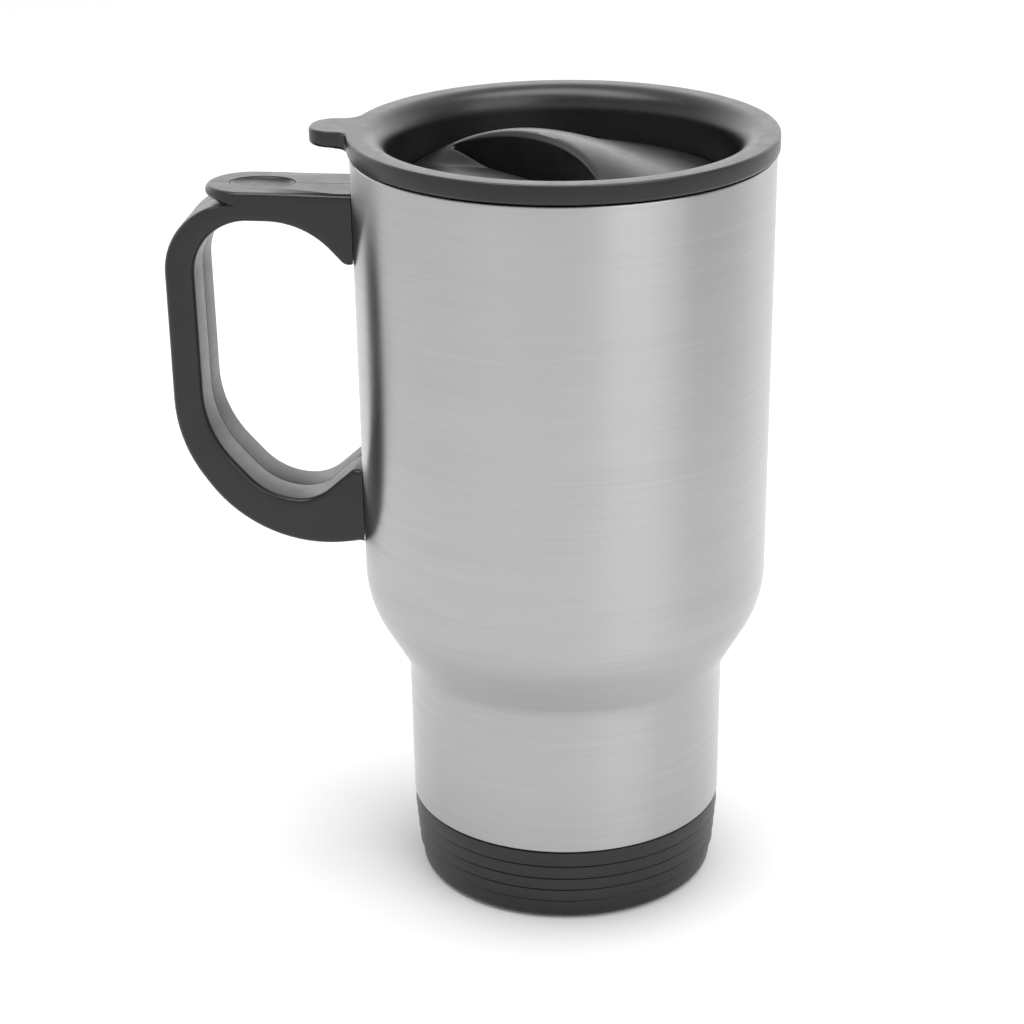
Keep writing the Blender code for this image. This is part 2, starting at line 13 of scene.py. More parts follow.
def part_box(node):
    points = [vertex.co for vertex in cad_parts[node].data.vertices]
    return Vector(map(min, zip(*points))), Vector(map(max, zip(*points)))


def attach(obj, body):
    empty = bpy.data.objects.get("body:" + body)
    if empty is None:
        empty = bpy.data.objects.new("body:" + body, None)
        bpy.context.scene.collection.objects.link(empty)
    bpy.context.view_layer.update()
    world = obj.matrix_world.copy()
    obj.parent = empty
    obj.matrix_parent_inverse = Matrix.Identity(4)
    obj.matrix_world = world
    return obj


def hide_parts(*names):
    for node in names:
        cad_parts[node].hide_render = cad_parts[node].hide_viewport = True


MM = 0.001
ROUND = 192             # points round a full turn
FINE_ROUND = 256        # points round a full turn of the large outer pieces

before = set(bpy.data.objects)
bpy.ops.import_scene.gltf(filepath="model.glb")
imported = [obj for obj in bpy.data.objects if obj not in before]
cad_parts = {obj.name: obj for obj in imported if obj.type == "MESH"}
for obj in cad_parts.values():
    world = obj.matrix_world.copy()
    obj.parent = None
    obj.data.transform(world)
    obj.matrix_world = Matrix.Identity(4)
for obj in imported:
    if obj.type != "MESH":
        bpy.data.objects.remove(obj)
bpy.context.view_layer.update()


def side(node, corner, axis):
    """One side of a CAD node's box, in millimetres: corner 0 is low and 1 is high."""
    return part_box(node)[corner][axis] / MM


# ---------------------------------------------------------------- sizes

GAP = 0.3

# Lid, from its packed box
LID_TOP = side("lid_body", 1, 2)
RIM_RADIUS = side("lid_body", 1, 0)
TAB_REACH = -side("lid_body", 0, 0)
PLUG_LOW = side("lid_body", 0, 2)
RIM_HIGH = 4.0
RIM_LOW = LID_TOP - RIM_HIGH
RIM_ROLL = 5.0
BOWL_RADIUS = RIM_RADIUS - 8.0
PLUG_RADIUS = RIM_RADIUS - 6.0
SKIRT_BORE = BOWL_RADIUS - 0.3
DECK_TOP = LID_TOP - 14.8
DECK_LOW = DECK_TOP - 1.8
GROOVE_RADIUS = PLUG_RADIUS - 0.9
GROOVE_TOP = PLUG_LOW + 7.0
GROOVE_LOW = PLUG_LOW + 3.5
HUB_HOLE = 3.8
TAB_HALF_WIDTH = 6.1
TAB_THICK = 3.4
TAB_FILLET = 3.5
TAB_CORNER = 5.2

# Closure
CLOSURE_TURN = math.radians(-45)
DIAL_RADIUS = RIM_RADIUS - 8.7
DIAL_LOW = side("closure_seal", 1, 2) + GAP
DIAL_EDGE = DIAL_LOW + 2.0
DOME_HIGH = 4.2
HOOD_HIGH = 6.3
HOOD_FADE = 19.0
APRON_HIGH = 3.3
APRON_BLEND = 6.6
TIP_BLEND = 0.77
SCOOP_CENTRE = 63.7
SCOOP_RADIUS = 58.8
SCOOP_HALF_LENGTH = 24.5
SCOOP_CHORD = SCOOP_CENTRE - math.sqrt(SCOOP_RADIUS ** 2 - SCOOP_HALF_LENGTH ** 2)
SCOOP_BACK = SCOOP_CENTRE - SCOOP_RADIUS
SCOOP_MIDDLE = (0.0, -(SCOOP_CHORD + SCOOP_BACK) / 2)
SCOOP_FLOOR = DIAL_EDGE + 0.2
SCOOP_LIP = 0.7
SCOOP_TIP = 0.35
DIAL_ROUND = 0.5
SIP_INNER = 25.4
SIP_OUTER = 31.8
SIP_HALF_ANGLE = 15.0
VENT_PLACE = (5.0, -7.4)
VENT_RADIUS = 1.3
BOSS_RADIUS = 3.4
BOSS_LOW = side("closure_dial", 0, 2)

# Steel body
BODY_TOP = side("outer_shell", 1, 2)
UPPER_RADIUS_TOP = side("outer_shell", 1, 0)
UPPER_RADIUS_LOW = UPPER_RADIUS_TOP - 0.66
SHOULDER_TOP = 69.9
SHOULDER_ARC = 22.7
NECK_ARC = 10.0
SHOULDER_SLOPE = 30.0
LOWER_RADIUS_TOP = 33.5
LOWER_RADIUS_LOW = 33.2
BOOT_JOINT = 16.7
SPIGOT_RADIUS = 30.3
SPIGOT_LOW = side("outer_shell", 0, 2)
STEEL = 0.7
LINER_BORE = 38.6
LINER_WALL = 0.6
LINER_LOW_RADIUS = 27.4
LINER_FLOOR = side("inner_liner", 0, 2) + LINER_WALL

# Base
BAND_EDGES = (16.4, 13.3, 10.3, 7.5, 4.7)
BAND_RADIUS_TOP = side("base_cap", 1, 0)
BAND_TAPER = 0.25
BAND_GROOVE = 0.7
FOOT_RADIUS = 31.8
BOOT_FLOOR = 4.3
PAD_RADIUS = side("base_pad", 1, 0)
PAD_THICK = side("base_pad", 1, 2)

# Handle
HALF_WIDTH = side("handle_back_half", 1, 1)
SEAM = side("handle_back_half", 0, 1)
PAD_TOP = side("handle_back_half", 1, 2)
PAD_LOW = PAD_TOP - 2.75
PAD_END = 73.6
PAD_TUCK = 3.9
PAD_STEP = 0.25
STEP_FADE = 14.0
STEP_SHARE = 0.75       # the shoulder's width over its height
SEAM_LINE = 0.03
ARM_INSIDE = 41.2
CONTACT_GAP = 0.12
EDGE_ROUND = 1.3
REST_CENTRE = 61.8
STEP_END = REST_CENTRE - 3
REST_LENGTH = 13.6
REST_WIDTH = 9.6
REST_DISH = 0.85
SCREW_PLACES = {"upper": (50.0, 147.3), "middle": (77.7, 120.0), "lower": (50.5, 80.0)}
SCREW_HEAD_RADIUS = 2.3
SCREW_FACE = side("handle_screw_upper", 1, 1)
SCREW_TIP = side("handle_screw_upper", 0, 1)
SCREW_HEAD_HIGH = 1.5
SCREW_SHANK = 1.3

# Camera, as a distance and height from the mug's axis
CAMERA_OUT = 530.7
CAMERA_UP = 295.1
CAMERA_AZIMUTH = math.radians(5.72)
CAMERA_YAW = -0.02105
CAMERA_PITCH = 0.38455
CAMERA_ROLL = -0.01234
CAMERA_LENS = 95.1


# ---------------------------------------------------------------- outlines

def arc(centre_x, centre_y, radius, start, end, steps):
    points = []
    for index in range(steps + 1):
        angle = math.radians(start + (end - start) * index / steps)
        points.append((centre_x + radius * math.cos(angle), centre_y + radius * math.sin(angle)))
    return points


def rounded(corners, step=9.0):
    """An outline from (x, y, fillet radius) corners."""
    points = []
    for index, (x, y, radius) in enumerate(corners):
        corner = Vector((x, y))
        if radius == 0:
            points.append((x, y))
            continue
        before = (Vector(corners[index - 1][:2]) - corner).normalized()
        after = (Vector(corners[(index + 1) % len(corners)][:2]) - corner).normalized()
        half = before.angle(after) / 2
        tangent = radius / math.tan(half)
        centre = corner + (before + after).normalized() * radius / math.sin(half)
        start = corner + before * tangent - centre
        turn = math.degrees(start.angle_signed(corner + after * tangent - centre))
        begin = math.degrees(math.atan2(start.y, start.x))
        pieces = max(2, round(abs(turn) / step))
        points += arc(centre.x, centre.y, radius, begin, begin - turn, pieces)
    return points


def divided(points, longest):
    """The closed outline with its long edges cut into shorter ones."""
    result = []
    for index, (x, y) in enumerate(points):
        next_x, next_y = points[(index + 1) % len(points)]
        pieces = max(1, math.ceil(math.hypot(next_x - x, next_y - y) / longest))
        for piece in range(pieces):
            share = piece / pieces
            result.append((x + (next_x - x) * share, y + (next_y - y) * share))
    return result


def outward_normals(points):
    """Unit normals of a closed outline that runs anticlockwise."""
    normals = []
    for index in range(len(points)):
        before = Vector(points[index - 1])
        after = Vector(points[(index + 1) % len(points)])
        along = (after - before).normalized()
        normals.append((along.y, -along.x))
    return normals


def signed_area(points):
    total = 0.0
    for index, (x, y) in enumerate(points):
        before_x, before_y = points[index - 1]
        total += before_x * y - x * before_y
    return total / 2


# ---------------------------------------------------------------- meshes

def mesh_object(name, shape, sharp=32):
    bmesh.ops.recalc_face_normals(shape, faces=shape.faces)
    mesh = bpy.data.meshes.new(name)
    shape.to_mesh(mesh)
    shape.free()
    mesh.shade_smooth()
    mesh.set_sharp_from_angle(angle=math.radians(sharp))
    obj = bpy.data.objects.new(name, mesh)
    bpy.context.scene.collection.objects.link(obj)
    return obj


def loft(name, loops, sharp=32, ring=False):
    """A skin through closed loops of equal length, given as (x, y, z) points."""
    shape = bmesh.new()
    rows = [[shape.verts.new((x * MM, y * MM, z * MM)) for x, y, z in loop] for loop in loops]
    pairs = list(zip(rows, rows[1:]))
    if ring:
        pairs.append((rows[-1], rows[0]))
    for first, second in pairs:
        for index in range(len(first)):
            following = (index + 1) % len(first)
            shape.faces.new((first[index], first[following], second[following], second[index]))
    if not ring:
        for row in (rows[0], rows[-1]):
            shape.faces.new(row)
    bmesh.ops.remove_doubles(shape, verts=shape.verts, dist=0.004 * MM)
    return mesh_object(name, shape, sharp)


def turned(name, profile, segments=ROUND, sharp=32):
    """A solid turned about Z from a closed (radius, height) outline."""
    shape = bmesh.new()
    rows = []
    for radius, height in profile:
        if radius < 0.0001:
            rows.append([shape.verts.new((0, 0, height * MM))])
            continue
        ring = []
        for index in range(segments):
            angle = 2 * math.pi * index / segments
            x = radius * MM * math.cos(angle)
            ring.append(shape.verts.new((x, radius * MM * math.sin(angle), height * MM)))
        rows.append(ring)
    for first, second in zip(rows, rows[1:] + rows[:1]):
        if len(first) == 1 and len(second) == 1:
            continue
        for index in range(segments):
            following = (index + 1) % segments
            corners = [first[index % len(first)], first[following % len(first)],
                       second[following % len(second)], second[index % len(second)]]
            unique = list(dict.fromkeys(corners))
            shape.faces.new(unique)
    return mesh_object(name, shape, sharp)


def prism(name, outline, low, high):
    """A cutter: an outline in XY between two heights."""
    loops = [[(x, y, z) for x, y in outline] for z in (low, high)]
    return loft(name, loops)


def cut(obj, cutters):
    """Take the cutters out of a mesh for good."""
    for cutter in cutters:
        modifier = obj.modifiers.new("Cut", "BOOLEAN")
        modifier.operation = "DIFFERENCE"
        modifier.solver = "EXACT"
        modifier.object = cutter
    bpy.context.view_layer.update()
    depsgraph = bpy.context.evaluated_depsgraph_get()
    mesh = bpy.data.meshes.new_from_object(obj.evaluated_get(depsgraph))
    obj.modifiers.clear()
    obj.data = mesh
    mesh.shade_smooth()
    mesh.set_sharp_from_angle(angle=math.radians(32))
    for cutter in cutters:
        bpy.data.objects.remove(cutter, do_unlink=True)
    return obj


# ---------------------------------------------------------------- materials

class Nodes:
    """A short way to build one material's node tree."""

    def __init__(self, name):
        self.material = bpy.data.materials.new(name)
        self.material.use_nodes = True
        self.tree = self.material.node_tree
        self.shader = self.tree.nodes["Principled BSDF"]
        self.place = self.tree.nodes.new("ShaderNodeTexCoord").outputs["Object"]

    def link(self, output, node_input):
        self.tree.links.new(output, node_input)

    def scaled(self, scale):
        mapping = self.tree.nodes.new("ShaderNodeMapping")
        mapping.inputs["Scale"].default_value = scale
        self.link(self.place, mapping.inputs["Vector"])
        return mapping.outputs["Vector"]

    def noise(self, scale, detail=3.0, rough=0.6):
        """Noise with the given repeats per metre along X, Y and Z."""
        node = self.tree.nodes.new("ShaderNodeTexNoise")
        node.inputs["Scale"].default_value = 1.0
        node.inputs["Detail"].default_value = detail
        node.inputs["Roughness"].default_value = rough
        self.link(self.scaled(scale), node.inputs["Vector"])
        return node.outputs["Fac"]

    def spread(self, value, low, high, from_low=0.3, from_high=0.7):
        node = self.tree.nodes.new("ShaderNodeMapRange")
        node.inputs["From Min"].default_value = from_low
        node.inputs["From Max"].default_value = from_high
        node.inputs["To Min"].default_value = low
        node.inputs["To Max"].default_value = high
        self.link(value, node.inputs["Value"])
        return node.outputs["Result"]

    def math(self, operation, first, second):
        node = self.tree.nodes.new("ShaderNodeMath")
        node.operation = operation
        for socket, value in zip(node.inputs, (first, second)):
            if isinstance(value, (int, float)):
                socket.default_value = value
            else:
                self.link(value, socket)
        return node.outputs["Value"]

    def colours(self, value, low, high):
        node = self.tree.nodes.new("ShaderNodeMix")
        node.data_type = "RGBA"
        node.inputs[6].default_value = (*low, 1.0)
        node.inputs[7].default_value = (*high, 1.0)
        self.link(value, node.inputs["Factor"])
        return node.outputs[2]

    def bump(self, height, distance, strength=1.0, after=None):
        node = self.tree.nodes.new("ShaderNodeBump")
        node.inputs["Strength"].default_value = strength
        node.inputs["Distance"].default_value = distance
        self.link(height, node.inputs["Height"])
        if after is not None:
            self.link(after, node.inputs["Normal"])
        return node.outputs["Normal"]

    def set(self, **values):
        for name, value in values.items():
            socket = self.shader.inputs[name.replace("_", " ")]
            if isinstance(value, (int, float, tuple)):
                socket.default_value = value
            else:
                self.link(value, socket)


def brushed_steel(name, low, high, roughness, grain=1.0):
    """Steel with fine scratches that run round the body."""
    nodes = Nodes(name)
    fine = nodes.noise((60, 60, 6500), 4.0, 0.7)
    streaks = nodes.noise((22, 22, 1700), 3.0, 0.6)
    clouds = nodes.noise((22, 22, 60), 2.0, 0.5)
    tone = nodes.math("ADD", nodes.math("MULTIPLY", fine, 0.45), nodes.math("MULTIPLY", streaks, 0.4))
    tone = nodes.math("ADD", tone, nodes.math("MULTIPLY", clouds, 0.15))
    shade = nodes.spread(tone, 0.0, 1.0, 0.4, 0.6)
    nodes.set(
        Base_Color=nodes.colours(shade, low, high),
        Metallic=1.0,
        Roughness=nodes.spread(tone, roughness + 0.025, roughness - 0.025, 0.4, 0.6),
        Anisotropic=0.93,
        Anisotropic_Rotation=0.25,
        Normal=nodes.bump(fine, 0.000006 * grain, 0.5),
    )
    tangent = nodes.tree.nodes.new("ShaderNodeTangent")
    tangent.direction_type = "RADIAL"
    tangent.axis = "Z"
    nodes.link(tangent.outputs["Tangent"], nodes.shader.inputs["Tangent"])
    return nodes.material


def spun_steel(name):
    """The liner's plain drawn steel."""
    nodes = Nodes(name)
    rings = nodes.noise((30, 30, 2600), 3.0, 0.6)
    nodes.set(
        Base_Color=nodes.colours(nodes.spread(rings, 0, 1), (0.50, 0.50, 0.49), (0.62, 0.62, 0.61)),
        Metallic=1.0,
        Roughness=nodes.spread(rings, 0.30, 0.22),
        Normal=nodes.bump(rings, 0.00002, 0.4),
    )
    return nodes.material


def moulded_plastic(name, low, high, roughness, grain=0.00002):
    """Satin black plastic with a fine moulded grain and faint rubbed patches."""
    nodes = Nodes(name)
    grit = nodes.noise((5200, 5200, 5200), 2.0, 0.6)
    flow = nodes.noise((95, 95, 95), 4.0, 0.55)
    rub = nodes.noise((260, 260, 700), 5.0, 0.7)
    patches = nodes.math("ADD", nodes.math("MULTIPLY", flow, 0.7), nodes.math("MULTIPLY", rub, 0.3))
    shade = nodes.spread(patches, 0, 1, 0.38, 0.62)
    nodes.set(
        Base_Color=nodes.colours(shade, low, high),
        Roughness=nodes.spread(rub, roughness - 0.04, roughness + 0.05),
        IOR=1.46,
        Normal=nodes.bump(grit, grain, 0.5, nodes.bump(flow, 0.00004, 0.12)),
    )
    return nodes.material


def soft_rubber(name, low, high, roughness):
    nodes = Nodes(name)
    grit = nodes.noise((3800, 3800, 3800), 3.0, 0.7)
    patches = nodes.noise((140, 140, 140), 4.0, 0.6)
    nodes.set(
        Base_Color=nodes.colours(nodes.spread(patches, 0, 1), low, high),
        Roughness=nodes.spread(patches, roughness - 0.05, roughness + 0.05),
        Normal=nodes.bump(grit, 0.00005, 0.5),
    )
    return nodes.material


def screw_metal(name):
    nodes = Nodes(name)
    turned_marks = nodes.noise((900, 900, 900), 4.0, 0.7)
    nodes.set(
        Base_Color=nodes.colours(nodes.spread(turned_marks, 0, 1), (0.30, 0.30, 0.31), (0.48, 0.48, 0.49)),
        Metallic=1.0,
        Roughness=nodes.spread(turned_marks, 0.28, 0.42),
        Normal=nodes.bump(turned_marks, 0.00003, 0.4),
    )
    return nodes.material


def beaded_foam(name):
    """Moulded insulation with the pattern of its beads."""
    nodes = Nodes(name)
    beads = nodes.tree.nodes.new("ShaderNodeTexVoronoi")
    beads.inputs["Scale"].default_value = 1.0
    nodes.link(nodes.scaled((420, 420, 420)), beads.inputs["Vector"])
    nodes.set(
        Base_Color=nodes.colours(nodes.spread(beads.outputs["Distance"], 1, 0, 0.0, 0.7),
                                 (0.70, 0.69, 0.66), (0.88, 0.87, 0.84)),
        Roughness=0.9,
        Normal=nodes.bump(beads.outputs["Distance"], -0.0002, 0.6),
    )
    return nodes.material


# ---------------------------------------------------------------- steel body

def upper_radius(height):
    share = (height - SHOULDER_TOP) / (BODY_TOP - SHOULDER_TOP)
    return UPPER_RADIUS_LOW + (UPPER_RADIUS_TOP - UPPER_RADIUS_LOW) * share


def neck_height():
    """Where the concave arc meets the lower cup, so that the slope joins both arcs."""
    slope = math.radians(SHOULDER_SLOPE)
    run = (UPPER_RADIUS_LOW - LOWER_RADIUS_TOP) - (SHOULDER_ARC + NECK_ARC) * (1 - math.cos(slope))
    return SHOULDER_TOP - (SHOULDER_ARC + NECK_ARC) * math.sin(slope) - run / math.tan(slope)


def shoulder(inset):
    """Both shoulder arcs, moved in by an inset, from top to bottom."""
    convex = arc(UPPER_RADIUS_LOW - SHOULDER_ARC, SHOULDER_TOP, SHOULDER_ARC - inset, 0, -SHOULDER_SLOPE, 20)
    concave = arc(LOWER_RADIUS_TOP + NECK_ARC, neck_height(), NECK_ARC + inset, 180 - SHOULDER_SLOPE, 180, 12)
    return convex + concave


def make_shell(material):
    lip = STEEL / 2
    outer = arc(UPPER_RADIUS_TOP - lip, BODY_TOP - lip, lip, 180, 0, 8) + shoulder(0.0)
    edge = 0.5
    outer += arc(LOWER_RADIUS_LOW - edge, BOOT_JOINT + edge, edge, 0, -90, 5)
    outer += [(SPIGOT_RADIUS + 0.6, BOOT_JOINT), (SPIGOT_RADIUS, BOOT_JOINT - 0.6),
              (SPIGOT_RADIUS, SPIGOT_LOW)]
    inner = [(SPIGOT_RADIUS - STEEL, SPIGOT_LOW), (SPIGOT_RADIUS - STEEL, BOOT_JOINT + STEEL),
             (LOWER_RADIUS_LOW - STEEL, BOOT_JOINT + STEEL + 0.4)] + shoulder(STEEL)[::-1]
    shell = turned("steel_shell", outer + inner, FINE_ROUND)
    return dress(shell, material, "mug", "brushed_steel", "outer_shell")


def make_liner(material):
    lip_top = BODY_TOP - GAP
    lip = UPPER_RADIUS_TOP - STEEL - GAP
    bend = 1.6
    wall = LINER_BORE + LINER_WALL
    outer = [(lip, lip_top), (lip, lip_top - LINER_WALL)]
    outer += [(wall + bend - LINER_WALL, lip_top - LINER_WALL)]
    outer += arc(wall + bend - LINER_WALL, lip_top - bend, bend - LINER_WALL, 90, 180, 5)
    inset = UPPER_RADIUS_LOW - wall
    outer += shoulder(inset)
    outer += [(LINER_LOW_RADIUS + 0.4, BOOT_JOINT + 1.3)]
    outer += arc(LINER_LOW_RADIUS - 2.0, LINER_FLOOR + 1.4, 2.0, 0, -90, 6)
    outer += [(0, LINER_FLOOR - LINER_WALL), (0, LINER_FLOOR)]
    inner = arc(LINER_LOW_RADIUS - 2.0, LINER_FLOOR + 1.4, 2.0 - LINER_WALL, -90, 0, 6)
    inner += [(LINER_LOW_RADIUS + 0.4 - LINER_WALL, BOOT_JOINT + 1.3)]
    inner += shoulder(inset + LINER_WALL)[::-1]
    inner += arc(LINER_BORE + bend, lip_top - bend, bend, 180, 90, 7)
    liner = turned("steel_liner", outer + inner, 144)
    return dress(liner, material, "mug", "plain_steel", "inner_liner")


# ---------------------------------------------------------------- base

def make_base(material):
    """The ribbed boot: four shingled bands over a plain foot."""
    top = BAND_EDGES[0]
    corners = [(SPIGOT_RADIUS + GAP, top, 0.1), (BAND_RADIUS_TOP - 0.15, top, 0.35)]
    for index, edge in enumerate(BAND_EDGES[1:]):
        radius = BAND_RADIUS_TOP - BAND_TAPER * index
        below = radius - BAND_TAPER - 0.2 if index < 3 else FOOT_RADIUS
        corners += [(radius, edge, 0.18), (radius - BAND_GROOVE, edge - 0.02, 0.1),
                    (radius - BAND_GROOVE, edge - 0.3, 0.1), (below, edge - 0.5, 0.15)]
    corners += [(FOOT_RADIUS - 0.35, GAP, 1.3),
                (PAD_RADIUS + GAP, GAP, 0.2), (PAD_RADIUS + GAP, PAD_THICK + GAP, 0),
                (0, PAD_THICK + GAP, 0), (0, BOOT_FLOOR, 0), (SPIGOT_RADIUS + GAP, BOOT_FLOOR, 0)]
    base = turned("ribbed_base", rounded(corners, 22.0), FINE_ROUND, 50)
    return dress(base, material, "mug", "black_plastic", "base_cap")


def make_pad(material):
    """The non-slip pad with shallow rings pressed into its underside."""
    under = [(0, 0, 0)]
    ring_count = 6
    for index in range(ring_count):
        radius = 6.0 + index * (PAD_RADIUS - 9.0) / (ring_count - 1)
        under += [(radius, 0, 0.1), (radius + 0.2, 0.35, 0.1), (radius + 0.9, 0.35, 0.1),
                  (radius + 1.1, 0, 0.1)]
    corners = under + [(PAD_RADIUS, 0, 0.4), (PAD_RADIUS, PAD_THICK, 0), (0, PAD_THICK, 0)]
    pad = turned("non_slip_pad", rounded(corners, 30.0), 128)
    return dress(pad, material, "mug", "black_rubber", "base_pad")


# ---------------------------------------------------------------- handle

def handle_outline():
    """The D handle under its pad, seen from the side, as (distance out, height)."""
    corners = [
        (ARM_INSIDE, PAD_LOW, 0), (PAD_END - PAD_TUCK - 0.4, PAD_LOW, 0.4), (81.5, 144.9, 14.8),
        (80.9, 96.6, 30.0), (63.7, 72.4, 30.0), (ARM_INSIDE, 75.7, 0), (ARM_INSIDE, 91.6, 0),
        (43.7, 91.6, 2.0), (51.9, 84.4, 9.8), (61.7, 84.95, 14.0), (74.6, 99.0, 23.0),
        (75.3, 144.8, 11.5), (52.0, 144.7, 18.0), (43.5, 135.5, 2.0), (ARM_INSIDE, 136.6, 0)]
    outline = divided(rounded(corners, 4.0), 1.6)
    if signed_area(outline) < 0:
        outline.reverse()
    return outline


def wall_at(height, across):
    """How far out the steel's surface is, off the handle's centre plane."""
    return math.sqrt((upper_radius(height) + CONTACT_GAP) ** 2 - across ** 2)


def handle_loop(outline, normals, across, inset):
    """One slice of a handle half, drawn in by an inset, at a distance from the centre plane."""
    loop = []
    for (out, height), (normal_out, normal_up) in zip(outline, normals):
        inner = 0.0 if out < ARM_INSIDE + 0.01 or height > PAD_LOW - 0.01 else inset
        new_height = height - normal_up * inner
        loop.append((max(out - normal_out * inner, wall_at(new_height, across)), new_height))
    return loop


def make_handle_half(name, node, sign, material):
    outline = handle_outline()
    normals = outward_normals(outline)
    steps = 6
    slices = [(SEAM_LINE, 0.16), (SEAM_LINE + 0.08, 0.04), (SEAM_LINE + 0.25, 0.0),
              (HALF_WIDTH / 2, 0.0), (HALF_WIDTH - EDGE_ROUND, 0.0)]
    for index in range(1, steps + 1):
        angle = math.pi / 2 * index / steps
        slices.append((HALF_WIDTH - EDGE_ROUND * (1 - math.sin(angle)),
                       EDGE_ROUND * (1 - math.cos(angle))))
    loops = []
    for across, inset in slices:
        loops.append([(-out, sign * across, height)
                      for out, height in handle_loop(outline, normals, across, inset)])
    half = loft(name, loops, 28)
    if sign > 0:
        head_low = SCREW_FACE - SCREW_HEAD_HIGH - GAP
        cutters = []
        for out, height in SCREW_PLACES.values():
            bore = turned("cut_head", [(0, 12), (SCREW_HEAD_RADIUS + GAP, 12),
                                       (SCREW_HEAD_RADIUS + GAP, head_low), (0, head_low)], 48)
            cutters.append(along_y(bore, out, height))
        cut(half, cutters)
    return dress(half, material, "mug", "black_plastic", node)


def pad_loop(sign, height, inset, tuck=0.0, drop=0.0):
    """The plan of one half of the pad: side, round end, seam and the curve against the steel.

    The drop lowers the side's points, fading out before the round end.
    """
    half = HALF_WIDTH - inset
    middle = PAD_END - HALF_WIDTH
    near = SEAM_LINE + min(inset, 0.05)
    side_start = wall_at(height, half)
    loop = []
    for index in range(20):
        out = side_start + (middle - side_start) * index / 20
        share = min(1.0, max(0.0, (STEP_END - out) / STEP_FADE))
        loop.append((out, half, height - drop * share))
    last = math.asin(near / half)
    for index in range(25):
        angle = math.pi / 2 + (last - math.pi / 2) * index / 24
        reach = half - tuck * math.cos(angle) ** 2
        loop.append((middle + reach * math.cos(angle), half * math.sin(angle), height))
    end = loop[-1][0]
    seam_start = wall_at(height, near)
    loop += [(end + (seam_start - end) * index / 16, near, height) for index in range(1, 16)]
    for index in range(8):
        across = near + (half - near) * index / 8
        loop.append((wall_at(height, across), across, height))
    return [(-out, sign * across, z) for out, across, z in loop]


def make_pad_half(name, node, sign, material):
    """The arm's flat top: a tucked-in end, a rounded shoulder and a low step up to the plate."""
    tucks = ((0.0, 1.0), (0.15, 0.93), (0.35, 0.76), (0.6, 0.45), (0.85, 0.17), (1.05, 0.03))
    loops = [pad_loop(sign, PAD_LOW + rise, 0.0, PAD_TUCK * share) for rise, share in tucks]
    edge = EDGE_ROUND * STEP_SHARE
    steps = 6
    for index in range(steps + 1):
        angle = math.pi / 2 * index / steps
        loops.append(pad_loop(sign, PAD_TOP - EDGE_ROUND * (1 - math.sin(angle)),
                              edge * (1 - math.cos(angle)), 0.0, PAD_STEP))
    loops += [pad_loop(sign, PAD_TOP, edge + 0.1, 0.0, PAD_STEP),
              pad_loop(sign, PAD_TOP, edge + 0.14, 0.0, 0.08),
              pad_loop(sign, PAD_TOP, edge + 0.25)]
    pad = loft(name, loops, 40)
    cut(pad, [oval(f"{name}_rest", 0.07, PAD_TOP - 1.9, PAD_TOP + 2)])
    return dress(pad, material, "mug", "black_plastic", node)


def along_y(obj, out, height):
    """Lay a piece turned about Z along Y, at a place in the handle's plane."""
    place = Matrix.Translation((-out * MM, 0, height * MM))
    obj.data.transform(place @ Matrix.Rotation(math.radians(-90), 4, "X"))
    return obj


def oval(name, grow, low, high):
    """A cutter with the thumb rest's outline."""
    obj = turned(name, [(0, high), (1, high), (1, low), (0, low)], 64)
    stretch_oval(obj, grow)
    return obj


def stretch_oval(obj, grow):
    """Turn a round piece of radius 1 into the thumb rest's oval, in its place on the arm."""
    for vertex in obj.data.vertices:
        vertex.co.x = vertex.co.x * (REST_LENGTH / 2 + grow) - REST_CENTRE * MM
        vertex.co.y *= REST_WIDTH / 2 + grow


def make_thumb_rest(material):
    """A dished oval insert, its rim just under the arm's top and its dish deeper near the mug."""
    top = PAD_TOP - 0.06
    low = side("thumb_rest", 0, 2)
    shares = [index / 18 for index in range(19)]
    profile = [(0.95 * share, top - REST_DISH * (1 - share ** 6)) for share in shares]
    profile += [(0.985, top - 0.04), (1.0, top - 0.12), (1.0, low), (0, low)]
    rest = turned("oval_thumb_rest", profile, 96)
    for vertex in rest.data.vertices:
        if vertex.co.z > (top - 1) * MM:
            vertex.co.z = top * MM - (top * MM - vertex.co.z) * (0.7 + 0.3 * vertex.co.x / MM)
    stretch_oval(rest, 0)
    return dress(rest, material, "mug", "black_plastic", "thumb_rest")


def make_screw(label, place, material):
    """A pan-head screw with a cross recess, laid along Y."""
    under = SCREW_FACE - SCREW_HEAD_HIGH
    corners = [(0, SCREW_FACE, 0), (SCREW_HEAD_RADIUS, SCREW_FACE, 0.7), (SCREW_HEAD_RADIUS, under, 0.15),
               (SCREW_SHANK, under, 0.1)]
    pitch = 0.8
    turns = int((under - SCREW_TIP - 2.0) / pitch)
    for index in range(turns):
        height = under - 1.0 - index * pitch
        corners += [(SCREW_SHANK, height, 0), (SCREW_SHANK - 0.25, height - pitch / 2, 0)]
    corners += [(SCREW_SHANK * 0.5, SCREW_TIP, 0), (0, SCREW_TIP, 0)]
    screw = turned(f"cross_screw_{label}", rounded(corners, 20.0), 40)
    arms = []
    for long_axis in (0, 1):
        reach = [0.32, 0.32]
        reach[long_axis] = 1.35
        outline = [(-reach[0], -reach[1]), (reach[0], -reach[1]), (reach[0], reach[1]), (-reach[0], reach[1])]
        arms.append(prism("cut_cross", outline, SCREW_FACE - 0.9, SCREW_FACE + 1))
    cut(screw, arms)
    along_y(screw, *place)
    return dress(screw, material, "mug", "screw_steel", f"handle_screw_{label}")


# ---------------------------------------------------------------- lid

